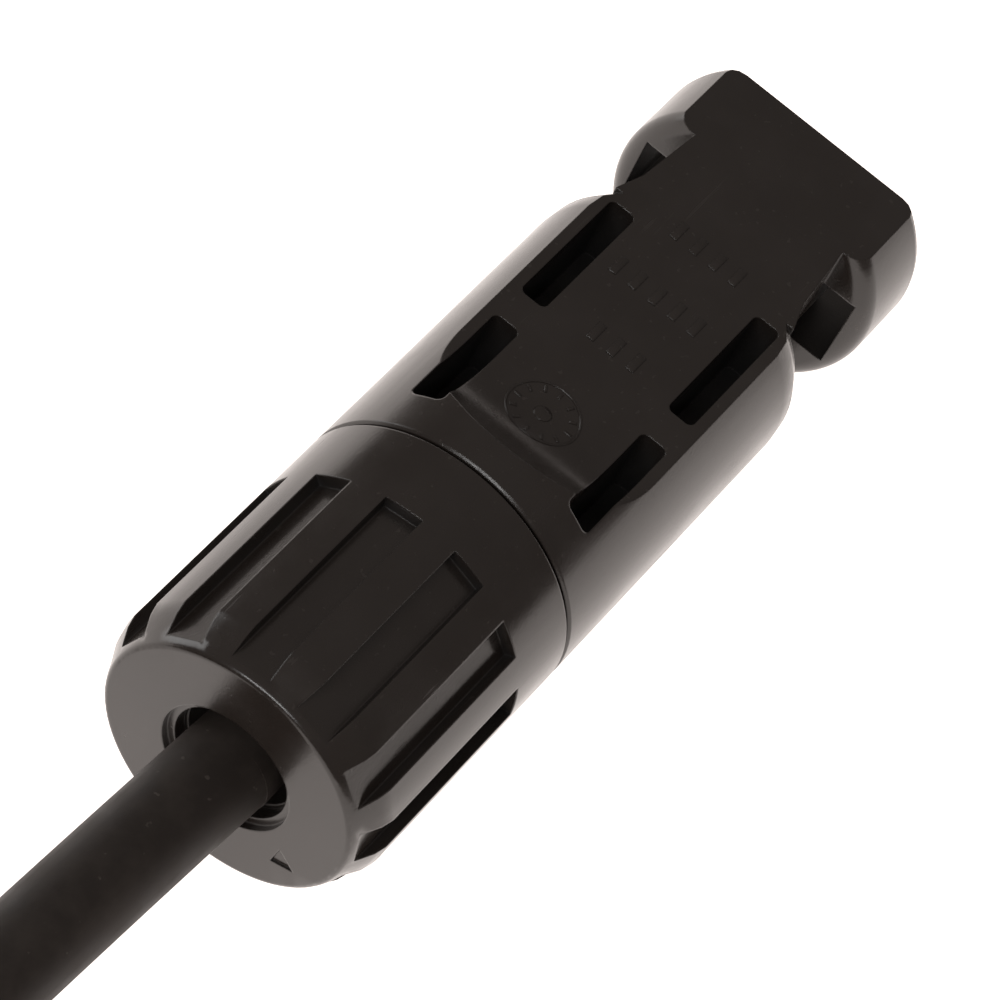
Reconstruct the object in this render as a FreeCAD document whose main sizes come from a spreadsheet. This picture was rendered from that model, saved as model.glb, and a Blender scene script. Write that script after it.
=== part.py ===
import FreeCAD, Part
import math
import os

import Sketcher

# Solar (photovoltaic) cable coupler, pin half, closed up on a 6 mm cable.
# Millimetres. X runs along the cable from the gland nut (rear) to the open hood (front),
# Z is normal to the two flats. Features are drawn with x = 0 on the nut's rear face and the
# axis on z = 0; every body is then placed so that the origin is under the middle of the coupler.

SIZES = {
    # gland nut
    "nut_len": (19.78, "rear face to front rim"),
    "body_rad": (9.6, "largest radius of nut and housing"),
    "rear_face_rad": (8.5, "outline of the nut's rear face"),
    "taper_len": (2.3, "length of the rear taper"),
    "edge_chamfer": (0.16, "broken edges either side of the seam"),
    "gland_hole_rad": (3.9, "cable hole in the nut"),
    "gland_rim_rad": (4.41, "shallow counterbore round the cable hole"),
    "gland_rim_deep": (0.5, "depth of that counterbore"),
    "nut_wall": (1.5, "thickness of the rear wall"),
    "cage_seat_rad": (6.55, "seat of the clamp cage in the nut"),
    "cage_seat_end": (4.6, "front end of that seat"),
    "relief_rad": (8.0, "thread relief at both ends of the nut"),
    "relief_rear_end": (6.2, "front end of the rear relief"),
    "relief_front": (17.0, "start of the front relief"),
    "nut_minor_rad": (7.15, "crest of the nut's thread"),
    "nut_major_rad": (7.85, "root of the nut's thread"),
    "flute_front": (14.75, "front wall of the grip flutes"),
    "flute_width": (2.55, "width of a flute"),
    "flute_floor_rad": (8.72, "distance of a flute's floor from the axis"),
    "flute_count": (12, "flutes round the nut"),
    "flute_phase": (-9.4, "degrees by which a flute is off the vertical"),
    # thread shared by the housing and the nut
    "thread_pitch": (2.0, "pitch"),
    "thread_start": (7.4, "centre of the first thread turn on the housing"),
    "thread_run": (8.8, "length of the housing's thread"),
    "nut_thread_run": (12.6, "length of the nut's thread cut"),
    "thread_core_rad": (6.9, "core of the housing's spigot"),
    "thread_crest_rad": (7.6, "crest of the housing's thread"),
    "thread_gap": (0.2, "clearance along the axis on each flank"),
    "tooth_root": (1.2, "width of a thread turn at its root"),
    "tooth_crest": (0.6, "width of a thread turn at its crest"),
    # housing
    "spigot_rear": (5.0, "rear end of the threaded spigot"),
    "cone_mouth_rad": (5.86, "clamping cone at the spigot's mouth"),
    "cone_end_rad": (5.33, "clamping cone at its inner end"),
    "cone_end": (11.5, "shoulder that stops the seal"),
    "chamber_rad": (3.3, "bore that the contact passes through"),
    "latch_rear": (29.7, "rear wall of the groove that catches the clip"),
    "latch_front": (34.0, "front wall of that groove"),
    "latch_rad": (3.7, "radius of that groove"),
    "contact_stop": (36.05, "shoulder that stops the contact's collar"),
    "pin_hole_rad": (2.45, "hole that the pin passes through"),
    "hood_back": (45.0, "back of the mating socket"),
    "hood_rad": (4.7, "mating socket's radius"),
    "barrel_rad": (5.75, "outside of the sealing barrel"),
    "barrel_front": (56.6, "front end of the sealing barrel"),
    "flange_rear": (19.93, "rear face of the housing's shoulder"),
    "hood_front": (58.87, "front face of the hood"),
    "flat_height": (6.28, "flats above and below the axis"),
    "ramp_foot": (26.3, "corner between the ramp and the flat"),
    "ramp_run": (5.15, "length of the ramp down from the clearance height"),
    "ramp_blend": (9.0, "radius at the foot of the ramp"),
    "slot_web": (0.8, "half thickness of the web between opposite core slots"),
    "slot_in": (4.66, "inner side of the core slots"),
    "slot_out": (6.52, "outer side of the core slots"),
    "slot_rear_a": (22.9, "rear slots, rear end"),
    "slot_rear_b": (32.0, "rear slots, front end"),
    "slot_front_a": (34.45, "front slots, rear end"),
    "slot_front_b": (44.3, "front slots, front end"),
    "slot_corner": (0.45, "slot corner radius"),
    "notch_rear": (45.2, "body shoulder behind the latch notch"),
    "notch_front": (52.35, "rear rim of the head"),
    "notch_in": (6.25, "half width of the plates between the notches, at their wide end"),
    "notch_in_front": (5.8, "half width of the same plates at the head"),
    "notch_ease": (47.3, "end of the slanted notch corner"),
    "notch_shoulder": (6.9, "start of the slanted notch corner"),
    "channel_out": (8.2, "outer wall of the latch arm channels"),
    "channel_half": (3.0, "half height of the latch arm channels"),
    "shoulder_run": (2.4, "length over which the body's shoulder is eased"),
    "shoulder_drop": (0.7, "drop of the body's shoulder at the notches"),
    "head_round": (1.2, "rounding of the head's rear rim"),
    "front_round": (0.8, "rounding of the hood's front rim"),
    "channel_rear": (45.3, "rear end of the latch arm channels"),
    # clamp cage
    "cage_rear": (1.58, "rear face of the cage's ring"),
    "cage_ring_end": (3.3, "front face of the cage's ring"),
    "cage_ring_rad": (6.35, "outside of the cage's ring"),
    "cage_hole_rad": (3.75, "cable hole in the cage"),
    "finger_tip": (10.6, "front end of the fingers"),
    "finger_in_rad": (5.0, "inside of the fingers"),
    "finger_root_rad": (5.88, "outside of the fingers at the ring"),
    "finger_tip_rad": (5.28, "outside of the fingers at the tip"),
    "finger_slit": (0.75, "slit between two fingers"),
    "finger_count": (10, "fingers round the cage"),
    # seal
    "seal_rear": (3.5, "rear face of the seal"),
    "seal_front": (11.4, "front face of the seal"),
    "seal_rad": (4.85, "outside of the seal's ribs"),
    "seal_valley_rad": (4.4, "between the seal's ribs"),
    "seal_bore_rad": (3.02, "bore of the seal"),
    # cable
    "cable_rad": (3.0, "outside of the cable"),
    "core_rad": (2.1, "inner insulation"),
    "wire_rad": (1.27, "stranded conductor"),
    "strip_end": (17.6, "where the insulation is stripped"),
    "wire_end": (28.2, "front end of the conductor"),
    # contact
    "pin_rad": (2.0, "contact pin"),
    "shank_rad": (2.4, "shank of the pin inside the housing"),
    "relief_neck_rad": (1.8, "turned relief between shank and pin"),
    "relief_neck_end": (45.6, "front end of that relief"),
    "pin_tip": (56.0, "front end of the pin"),
    "collar_rear": (34.1, "rear of the stop collar"),
    "collar_front": (36.0, "front of the stop collar"),
    "collar_rad": (3.05, "stop collar"),
    "neck_rad": (2.25, "neck that carries the clip"),
    "crimp_rear": (18.4, "rear mouth of the crimp barrel"),
    "crimp_front": (29.0, "front of the crimp barrel"),
    "crimp_rad": (2.6, "outside of the crimp barrel"),
    "crimp_bore_rad": (1.3, "bore of the crimp barrel"),
    "crimp_bore_end": (28.4, "bottom of that bore"),
    "crimp_flat": (2.05, "half height over the crimp indents"),
    # clip
    "clip_ring_rear": (32.7, "rear of the clip's ring"),
    "clip_ring_front": (33.9, "front of the clip's ring"),
    "clip_in_rad": (2.3, "inside of the clip"),
    "clip_sheet": (0.25, "sheet thickness"),
    "clip_tip": (29.85, "tip of the tongues"),
    "clip_tip_rad": (3.3, "inside of the tongues at the tip"),
    "clip_gap": (1.9, "gap between two tongues"),
    # loose lead behind the coupler
    "coil_mid_rad": (30.5, "coil radius at the middle of a turn"),
    "coil_high": (19.7, "height of the coiled lead"),
    "coil_rise": (6.1, "rise of one turn"),
    "coil_turns": (2.25, "turns in the coil"),
    "tie_width": (3.6, "cable tie, width"),
    "tie_thick": (1.1, "cable tie, thickness"),
    "tie_gap": (0.1, "play between the cable tie and the turns"),
    "tie_angle": (-140.0, "place of the cable tie round the coil, degrees"),
    "tie_head": (5.2, "cable tie, side of the locking head"),
    "end_core_len": (6.0, "inner insulation left standing at the free end"),
    "end_wire_len": (9.0, "bare conductor at the free end"),
}

LEAD_ROUTE = [(0.0, 0.0, 0.0), (-17.0, 0.95, -0.1), (-36.0, 2.4, -5.4), (-55.0, 2.5, -5.4)]
ORIGIN_X = -29.435
AXIS_HEIGHT = 9.6

doc = FreeCAD.newDocument("solar_cable_connector")
sheet = doc.addObject("Spreadsheet::Sheet", "dims")


class Dim:
    """A size with its number and the sheet expression that drives it."""

    def __init__(self, value, text):
        self.value = value
        self.text = text

    def _join(self, other, sign, value, swap=False):
        other_text = other.text if isinstance(other, Dim) else repr(float(other))
        pair = (other_text, self.text) if swap else (self.text, other_text)
        return Dim(value, "(%s %s %s)" % (pair[0], sign, pair[1]))

    def __add__(self, other):
        return self._join(other, "+", self.value + number(other))

    def __radd__(self, other):
        return self._join(other, "+", self.value + number(other), True)

    def __sub__(self, other):
        return self._join(other, "-", self.value - number(other))

    def __rsub__(self, other):
        return self._join(other, "-", number(other) - self.value, True)

    def __mul__(self, other):
        return self._join(other, "*", self.value * number(other))

    def __rmul__(self, other):
        return self._join(other, "*", self.value * number(other), True)

    def __truediv__(self, other):
        return self._join(other, "/", self.value / number(other))

    def __neg__(self):
        return Dim(-self.value, "(0 - %s)" % self.text)


def number(size):
    """The plain number behind a size."""
    return size.value if isinstance(size, Dim) else float(size)


class Table:
    """Gives each sheet row as an attribute."""


def fill_sheet():
    """Writes the sizes into the sheet and returns them as Dim attributes."""
    table = Table()
    for row, (name, (value, note)) in enumerate(SIZES.items(), start=1):
        sheet.set("A%d" % row, name)
        sheet.set("B%d" % row, str(value))
        sheet.set("C%d" % row, note)
        sheet.setAlias("B%d" % row, name)
        setattr(table, name, Dim(float(value), "dims.%s" % name))
    doc.recompute()
    return table


S = fill_sheet()


def plane_of(body, role):
    """One of the body's own origin planes or axes."""
    for item in body.Origin.OriginFeatures:
        if item.Role == role:
            return item
    raise ValueError(role)


def new_body(name):
    """An empty body whose label is the node's name."""
    body = doc.addObject("PartDesign::Body", name)
    body.Label = name
    return body


def new_sketch(body, name, role, shift=None, turn=0.0):
    """A sketch on one of the body's planes, moved along its normal by shift."""
    sketch = body.newObject("Sketcher::SketchObject", name)
    sketch.AttachmentSupport = [(plane_of(body, role), "")]
    sketch.MapMode = "FlatFace"
    sketch.AttachmentOffset = FreeCAD.Placement(
        FreeCAD.Vector(0, 0, number(shift) if shift is not None else 0.0),
        FreeCAD.Rotation(FreeCAD.Vector(0, 0, 1), number(turn)))
    if isinstance(shift, Dim):
        sketch.setExpression("AttachmentOffset.Base.z", shift.text)
    return sketch


def pin_value(sketch, kind, geo, point, size, name):
    """Ties one coordinate of a point to a size."""
    if number(size) == 0.0:
        axis = -2 if kind == "DistanceX" else -1
        sketch.addConstraint(Sketcher.Constraint("PointOnObject", geo, point, axis))
        return
    index = sketch.addConstraint(Sketcher.Constraint(kind, -1, 1, geo, point, number(size)))
    sketch.renameConstraint(index, name)
    if isinstance(size, Dim):
        sketch.setExpression("Constraints.%s" % name, size.text)


def draw_polygon(sketch, corners):
    """Adds a closed polygon whose corners follow the sheet."""
    first = sketch.GeometryCount
    spots = [FreeCAD.Vector(number(a), number(b), 0) for a, b in corners]
    count = len(spots)
    for i in range(count):
        sketch.addGeometry(Part.LineSegment(spots[i], spots[(i + 1) % count]), False)
    for i in range(count):
        following = first + (i + 1) % count
        sketch.addConstraint(Sketcher.Constraint("Coincident", first + i, 2, following, 1))
    for i, (a, b) in enumerate(corners):
        pin_value(sketch, "DistanceX", first + i, 1, a, "x%d" % (first + i))
        pin_value(sketch, "DistanceY", first + i, 1, b, "y%d" % (first + i))


def draw_box(sketch, low_x, low_y, high_x, high_y):
    """Adds a rectangle between two corners."""
    draw_polygon(sketch, [(low_x, low_y), (high_x, low_y), (high_x, high_y), (low_x, high_y)])


def draw_circle(sketch, centre_x, centre_y, radius):
    """Adds a circle whose centre and radius follow the sheet."""
    centre = FreeCAD.Vector(number(centre_x), number(centre_y), 0)
    geo = sketch.addGeometry(Part.Circle(centre, FreeCAD.Vector(0, 0, 1), number(radius)), False)
    pin_value(sketch, "DistanceX", geo, 3, centre_x, "cx%d" % geo)
    pin_value(sketch, "DistanceY", geo, 3, centre_y, "cy%d" % geo)
    index = sketch.addConstraint(Sketcher.Constraint("Radius", geo, number(radius)))
    sketch.renameConstraint(index, "rad%d" % geo)
    if isinstance(radius, Dim):
        sketch.setExpression("Constraints.rad%d" % geo, radius.text)


def revolve(body, name, corners, cut=False):
    """Turns a profile drawn as (x, radius) about the X axis."""
    sketch = new_sketch(body, name + "_profile", "XY_Plane")
    draw_polygon(sketch, corners)
    kind = "PartDesign::Groove" if cut else "PartDesign::Revolution"
    turned = body.newObject(kind, name)
    turned.Profile = sketch
    turned.ReferenceAxis = (sketch, ["H_Axis"])
    turned.Angle = 360.0
    sketch.Visibility = False
    doc.recompute()
    return turned


def pad(body, name, sketch, length):
    """Pads a sketch along its normal."""
    grown = body.newObject("PartDesign::Pad", name)
    grown.Profile = sketch
    grown.Length = number(length)
    if isinstance(length, Dim):
        grown.setExpression("Length", length.text)
    sketch.Visibility = False
    doc.recompute()
    return grown


def pocket(body, name, sketch, length, back=False, both=False):
    """Cuts a sketch into the body: against its normal, along it when back, or both ways."""
    before = body.Shape.Volume
    cut = body.newObject("PartDesign::Pocket", name)
    cut.Profile = sketch
    cut.Length = number(length)
    if isinstance(length, Dim):
        cut.setExpression("Length", length.text)
    cut.Midplane = both
    cut.Reversed = back
    sketch.Visibility = False
    doc.recompute()
    if not cut.Shape.Volume < before - 1e-6:
        raise ValueError("%s cuts nothing" % name)
    return cut


def ring_pattern(body, name, feature, count):
    """Repeats a feature evenly about the X axis."""
    pattern = body.newObject("PartDesign::PolarPattern", name)
    pattern.Originals = [feature]
    pattern.Axis = (plane_of(body, "X_Axis"), [""])
    pattern.Angle = 360
    pattern.Occurrences = int(number(count))
    if isinstance(count, Dim):
        pattern.setExpression("Occurrences", count.text)
    body.Tip = pattern
    doc.recompute()
    return pattern


def helix(body, name, sketch, run, cut):
    """Sweeps a thread profile along a right-handed helix about X."""
    kind = "PartDesign::SubtractiveHelix" if cut else "PartDesign::AdditiveHelix"
    thread = body.newObject(kind, name)
    thread.Profile = sketch
    thread.ReferenceAxis = (sketch, ["H_Axis"])
    thread.Mode = 0
    thread.Pitch = number(S.thread_pitch)
    thread.Height = number(run)
    thread.Angle = 0.0
    thread.setExpression("Pitch", S.thread_pitch.text)
    thread.setExpression("Height", run.text)
    thread.LeftHanded = False
    thread.Reversed = False
    sketch.Visibility = False
    doc.recompute()
    return thread


def round_edges(body, name, radius, chooser):
    """Fillets the edges of the body's tip that the chooser picks."""
    base = body.Tip
    picked = ["Edge%d" % (i + 1) for i, edge in enumerate(base.Shape.Edges) if chooser(edge)]
    if not picked:
        raise ValueError("%s finds no edges" % name)
    fillet = body.newObject("PartDesign::Fillet", name)
    fillet.Base = (base, picked)
    fillet.Radius = radius
    doc.recompute()
    return fillet


def is_ring(edge, x, radius):
    """True for a circle about the X axis at x with that radius."""
    curve = edge.Curve
    if not isinstance(curve, Part.Circle):
        return False
    same = abs(curve.Center.x - x) < 0.02 and abs(curve.Radius - radius) < 0.02
    return same and math.hypot(curve.Center.y, curve.Center.z) < 0.02


def make_nut():
    """Fluted gland nut with its internal thread and cable hole."""
    body = new_body("gland_nut")
    revolve(body, "nut_form", [
        (S.gland_rim_deep, S.gland_hole_rad),
        (S.gland_rim_deep, S.gland_rim_rad),
        (0, S.gland_rim_rad),
        (0, S.rear_face_rad),
        (S.taper_len * 0.8, S.body_rad - 0.2),
        (S.taper_len * 1.15, S.body_rad),
        (S.nut_len - S.edge_chamfer, S.body_rad),
        (S.nut_len, S.body_rad - S.edge_chamfer),
        (S.nut_len, S.relief_rad),
        (S.relief_front, S.relief_rad),
        (S.relief_front - (S.relief_rad - S.nut_minor_rad), S.nut_minor_rad),
        (S.relief_rear_end, S.nut_minor_rad),
        (S.relief_rear_end - 0.6, S.relief_rad),
        (S.cage_seat_end, S.relief_rad),
        (S.cage_seat_end, S.cage_seat_rad),
        (S.nut_wall, S.cage_seat_rad),
        (S.nut_wall, S.gland_hole_rad),
    ])
    sketch = new_sketch(body, "flute_profile", "YZ_Plane", S.flute_front, S.flute_phase.value)
    sketch.setExpression("AttachmentOffset.Rotation.Angle", S.flute_phase.text)
    draw_box(sketch, -S.flute_width / 2, S.flute_floor_rad, S.flute_width / 2, S.body_rad + 1)
    flute = pocket(body, "flute", sketch, S.flute_front + 1)
    ring_pattern(body, "flutes", flute, S.flute_count)
    round_edges(body, "nut_back_edge", 0.4,
                lambda edge: is_ring(edge, 0.0, number(S.rear_face_rad)))
    mark = new_sketch(body, "cavity_mark_profile", "YZ_Plane", 0.0)
    draw_polygon(mark, [(-6.2, -3.9), (-4.75, -4.45), (-4.95, -2.95)])
    pocket(body, "cavity_mark", mark, 0.15, back=True)
    cutter = new_sketch(body, "nut_thread_profile", "XY_Plane")
    low = S.nut_minor_rad - 0.1
    slope = (S.tooth_root - S.tooth_crest) / (S.thread_crest_rad - S.thread_core_rad)
    half_low = (S.tooth_root - slope * (low - S.thread_core_rad)) / 2 + S.thread_gap
    half_top = (S.tooth_root - slope * (S.nut_major_rad - S.thread_core_rad)) / 2 + S.thread_gap
    start = S.thread_start - S.thread_pitch
    draw_polygon(cutter, [(start - half_low, low), (start + half_low, low),
                          (start + half_top, S.nut_major_rad),
                          (start - half_top, S.nut_major_rad)])
    helix(body, "nut_thread", cutter, S.nut_thread_run, True)
    return body


def make_housing():
    """Insulating shell: threaded spigot, contact chamber, flats, core slots and open hood."""
    body = new_body("housing")
    revolve(body, "shell_form", [
        (S.spigot_rear, S.cone_mouth_rad),
        (S.spigot_rear, S.thread_core_rad - 0.4),
        (S.spigot_rear + 0.4, S.thread_core_rad),
        (S.flange_rear, S.thread_core_rad),
        (S.flange_rear, S.body_rad - S.edge_chamfer),
        (S.flange_rear + S.edge_chamfer, S.body_rad),
        (S.hood_front - S.front_round, S.body_rad),
        (S.hood_front - S.front_round * 0.5, S.body_rad - S.front_round * 0.134),
        (S.hood_front - S.front_round * 0.134, S.body_rad - S.front_round * 0.5),
        (S.hood_front, S.body_rad - S.front_round),
        (S.hood_front, S.hood_rad),
        (S.hood_back, S.hood_rad),
        (S.hood_back, S.pin_hole_rad),
        (S.contact_stop, S.pin_hole_rad),
        (S.contact_stop, S.chamber_rad),
        (S.latch_front, S.chamber_rad),
        (S.latch_front, S.latch_rad),
        (S.latch_rear, S.latch_rad),
        (S.latch_rear, S.chamber_rad),
        (S.cone_end, S.chamber_rad),
        (S.cone_end, S.cone_end_rad),
    ])
    flats = new_sketch(body, "flats_profile", "XZ_Plane")
    beyond = S.body_rad + 1
    for side in (1, -1):
        draw_polygon(flats, [(S.ramp_foot, side * S.flat_height),
                             (S.hood_front + 1, side * S.flat_height),
                             (S.hood_front + 1, side * beyond),
                             (S.ramp_foot - S.ramp_run, side * beyond)])
    pocket(body, "flats", flats, 4 * S.body_rad, both=True)

    def ramp_corner(edge):
        middle = edge.CenterOfMass
        along = abs(middle.x - number(S.ramp_foot)) < 0.02
        return along and abs(abs(middle.z) - number(S.flat_height)) < 0.02

    round_edges(body, "ramp_blends", number(S.ramp_blend), ramp_corner)
    for side, name in ((1, "upper"), (-1, "lower")):
        slots = new_sketch(body, name + "_slots_profile", "XY_Plane", side * S.slot_web)
        for rear, front in ((S.slot_rear_a, S.slot_rear_b), (S.slot_front_a, S.slot_front_b)):
            draw_box(slots, rear, S.slot_in, front, S.slot_out)
            draw_box(slots, rear, -S.slot_out, front, -S.slot_in)
        pocket(body, name + "_slots", slots, beyond, back=side > 0)
    ends = [number(size) for size in (S.slot_rear_a, S.slot_rear_b, S.slot_front_a, S.slot_front_b)]
    sides = [number(S.slot_in), number(S.slot_out)]

    def slot_corner(edge):
        middle = edge.CenterOfMass
        if not isinstance(edge.Curve, Part.Line) or abs(edge.tangentAt(edge.FirstParameter).z) < 0.99:
            return False
        near_end = min(abs(middle.x - x) for x in ends) < 0.02
        return near_end and min(abs(abs(middle.y) - y) for y in sides) < 0.02

    round_edges(body, "slot_corners", number(S.slot_corner), slot_corner)
    notch = new_sketch(body, "latch_notch_profile", "XY_Plane")
    for side in (1, -1):
        draw_polygon(notch, [(S.notch_rear, side * beyond), (S.notch_rear, side * S.notch_shoulder),
                             (S.notch_ease, side * S.notch_in),
                             (S.notch_front, side * S.notch_in_front),
                             (S.notch_front, side * beyond)])
    pocket(body, "latch_notches", notch, 4 * S.body_rad, both=True)
    revolve(body, "shoulder_ease", [
        (S.notch_rear - S.shoulder_run, S.body_rad),
        (S.notch_rear - S.shoulder_run * 0.45, S.body_rad - S.shoulder_drop * 0.2),
        (S.notch_rear, S.body_rad - S.shoulder_drop),
        (S.notch_rear, beyond),
        (S.notch_rear - S.shoulder_run, beyond),
    ], cut=True)
    round_edges(body, "head_rims", number(S.head_round),
                lambda edge: is_ring(edge, number(S.notch_front), number(S.body_rad)))
    channel = new_sketch(body, "latch_channel_profile", "YZ_Plane", S.channel_rear)
    draw_box(channel, -S.channel_out, -S.channel_half, S.channel_out, S.channel_half)
    pocket(body, "latch_channels", channel, S.hood_front - S.channel_rear + 1, back=True)
    barrel = new_sketch(body, "sealing_barrel_profile", "YZ_Plane", S.hood_back)
    draw_circle(barrel, 0, 0, S.barrel_rad)
    draw_circle(barrel, 0, 0, S.hood_rad)
    pad(body, "sealing_barrel", barrel, S.barrel_front - S.hood_back)
    tooth = new_sketch(body, "spigot_thread_profile", "XY_Plane")
    root = S.thread_core_rad - 0.05
    draw_polygon(tooth, [(S.thread_start - S.tooth_root / 2, root),
                         (S.thread_start + S.tooth_root / 2, root),
                         (S.thread_start + S.tooth_crest / 2, S.thread_crest_rad),
                         (S.thread_start - S.tooth_crest / 2, S.thread_crest_rad)])
    helix(body, "spigot_thread", tooth, S.thread_run, False)
    return body


def make_cage():
    """Clamp cage: a ring whose fingers are pressed onto the seal."""
    body = new_body("clamp_cage")
    revolve(body, "cage_form", [
        (S.cage_rear, S.cage_hole_rad),
        (S.cage_rear, S.cage_ring_rad - 0.2),
        (S.cage_rear + 0.2, S.cage_ring_rad),
        (S.cage_ring_end, S.cage_ring_rad),
        (S.cage_ring_end, S.finger_root_rad),
        (S.finger_tip, S.finger_tip_rad),
        (S.finger_tip, S.finger_in_rad),
        (S.cage_ring_end, S.finger_in_rad),
        (S.cage_ring_end, S.cage_hole_rad),
    ])
    sketch = new_sketch(body, "finger_slit_profile", "YZ_Plane", S.cage_ring_end)
    draw_box(sketch, -S.finger_slit / 2, S.finger_in_rad - 0.5, S.finger_slit / 2, S.body_rad)
    slit = pocket(body, "finger_slit", sketch, S.finger_tip, back=True)
    ring_pattern(body, "finger_slits", slit, S.finger_count)
    return body


def make_seal():
    """Ribbed silicone seal round the cable."""
    body = new_body("cable_seal")
    ribs = 4
    step = (S.seal_front - S.seal_rear) / ribs
    corners = [(S.seal_rear, S.seal_bore_rad)]
    for i in range(ribs):
        base = S.seal_rear + i * step
        corners.append((base, S.seal_rad - 0.1))
        corners.append((base + 0.1, S.seal_rad))
        corners.append((base + step * 0.5, S.seal_rad))
        corners.append((base + step * 0.6, S.seal_valley_rad))
        corners.append((base + step * 0.9, S.seal_valley_rad))
    corners.append((S.seal_front, S.seal_rad - 0.1))
    corners.append((S.seal_front, S.seal_bore_rad))
    revolve(body, "seal_form", corners)
    return body


def make_tube(name, rear, front, inner, outer):
    """A plain sleeve, or a rod when inner is 0, along the axis."""
    body = new_body(name)
    revolve(body, name + "_form", [(rear, inner), (rear, outer), (front, outer), (front, inner)])
    return body


def make_wire():
    """Stranded conductor: seven bundles round a core, as far as the crimp."""
    body = make_tube("conductor", 0, S.wire_end, 0, S.wire_rad * 0.8)
    sketch = new_sketch(body, "bundle_profile", "YZ_Plane", 0.0)
    draw_circle(sketch, 0, S.wire_rad * 0.66, S.wire_rad * 0.34)
    bundle = pad(body, "bundle", sketch, S.wire_end)
    ring_pattern(body, "bundles", bundle, 7)
    return body


def make_contact():
    """Turned pin contact with stop collar, neck and crimp barrel."""
    body = new_body("pin_contact")
    revolve(body, "contact_form", [
        (S.pin_tip, 0),
        (S.pin_tip, S.pin_rad * 0.45),
        (S.pin_tip - 0.9, S.pin_rad * 0.85),
        (S.pin_tip - 1.9, S.pin_rad),
        (S.relief_neck_end, S.pin_rad),
        (S.relief_neck_end, S.relief_neck_rad),
        (S.hood_back, S.relief_neck_rad),
        (S.hood_back, S.shank_rad),
        (S.collar_front, S.shank_rad),
        (S.collar_front, S.collar_rad - 0.2),
        (S.collar_front - 0.2, S.collar_rad),
        (S.collar_rear, S.collar_rad),
        (S.collar_rear, S.neck_rad),
        (S.crimp_front + 0.4, S.neck_rad),
        (S.crimp_front, S.crimp_rad),
        (S.crimp_rear, S.crimp_rad),
        (S.crimp_rear, S.crimp_bore_rad + 0.5),
        (S.crimp_rear + 0.5, S.crimp_bore_rad),
        (S.crimp_bore_end, S.crimp_bore_rad),
        (S.crimp_bore_end, 0),
    ])
    dents = new_sketch(body, "crimp_dent_profile", "XZ_Plane")
    for side in (1, -1):
        for rear in (1.6, 5.4):
            low = S.crimp_rear + rear
            draw_polygon(dents, [(low, side * S.crimp_flat), (low + 3.0, side * S.crimp_flat),
                                 (low + 3.4, side * (S.crimp_rad + 0.5)),
                                 (low - 0.4, side * (S.crimp_rad + 0.5))])
    pocket(body, "crimp_dents", dents, 4 * S.crimp_rad, both=True)
    hole = new_sketch(body, "sight_hole_profile", "XY_Plane")
    draw_circle(hole, S.crimp_bore_end - 0.7, 0, 0.45)
    pocket(body, "sight_hole", hole, S.crimp_rad + 1, back=True)
    return body


def make_clip():
    """Spring clip whose tongues catch behind the housing's groove."""
    body = new_body("retaining_clip")
    tip_out = S.clip_tip_rad + S.clip_sheet
    revolve(body, "clip_form", [
        (S.clip_ring_front, S.clip_in_rad),
        (S.clip_ring_front, S.clip_in_rad + S.clip_sheet),
        (S.clip_ring_rear, S.clip_in_rad + S.clip_sheet),
        (S.clip_tip, tip_out),
        (S.clip_tip, S.clip_tip_rad),
        (S.clip_ring_rear, S.clip_in_rad),
    ])
    gap = new_sketch(body, "clip_gap_profile", "YZ_Plane", S.clip_ring_rear)
    draw_box(gap, -S.clip_gap / 2, 1.0, S.clip_gap / 2, S.body_rad)
    cut = pocket(body, "clip_gap", gap, S.clip_ring_rear - S.clip_tip + 1)
    ring_pattern(body, "clip_gaps", cut, 4)
    return body


def solid_feature(name, shape):
    """Keeps a shape worked out in code as an object of the document."""
    item = doc.addObject("Part::Feature", name)
    item.Label = name
    item.Shape = shape
    return item


def rounded_path(corners):
    """Straight runs joined by tangent arcs; returns the wire and prints the radii."""
    spots = [FreeCAD.Vector(*corner) for corner in corners]
    runs = [(b - a).Length for a, b in zip(spots, spots[1:])]
    edges = []
    here = spots[0]
    for i in range(1, len(spots) - 1):
        back = (spots[i - 1] - spots[i]).normalize()
        ahead = (spots[i + 1] - spots[i]).normalize()
        half_turn = (math.pi - back.getAngle(ahead)) / 2
        reach = 0.45 * min(runs[i - 1], runs[i])
        radius = reach / math.tan(half_turn)
        print("lead bend %d: radius %.1f mm, turn %.1f deg" % (i, radius, math.degrees(2 * half_turn)))
        start = spots[i] + back * reach
        end = spots[i] + ahead * reach
        middle_dir = (back + ahead).normalize()
        centre = spots[i] + middle_dir * (radius / math.cos(half_turn))
        middle = centre - middle_dir * radius
        edges.append(Part.LineSegment(here, start).toShape())
        edges.append(Part.Arc(start, middle, end).toShape())
        here = end
    edges.append(Part.LineSegment(here, spots[-1]).toShape())
    return Part.Wire(edges)


def make_lead():
    """The lead from the coupler to the coil."""
    wire = rounded_path(LEAD_ROUTE)
    radius = S.cable_rad.value
    mouth = Part.Circle(FreeCAD.Vector(*LEAD_ROUTE[0]), FreeCAD.Vector(-1, 0, 0), radius)
    profile = Part.Wire([mouth.toShape()])
    tube = wire.makePipeShell([profile], True, False)
    expected = math.pi * radius ** 2 * wire.Length
    print("lead volume %.1f, section times length %.1f" % (tube.Volume, expected))
    return solid_feature("lead_tube", tube)


def rim_edges(shape):
    """Every full circle of a ring."""
    return [edge for edge in shape.Edges if isinstance(edge.Curve, Part.Circle)]


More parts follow.
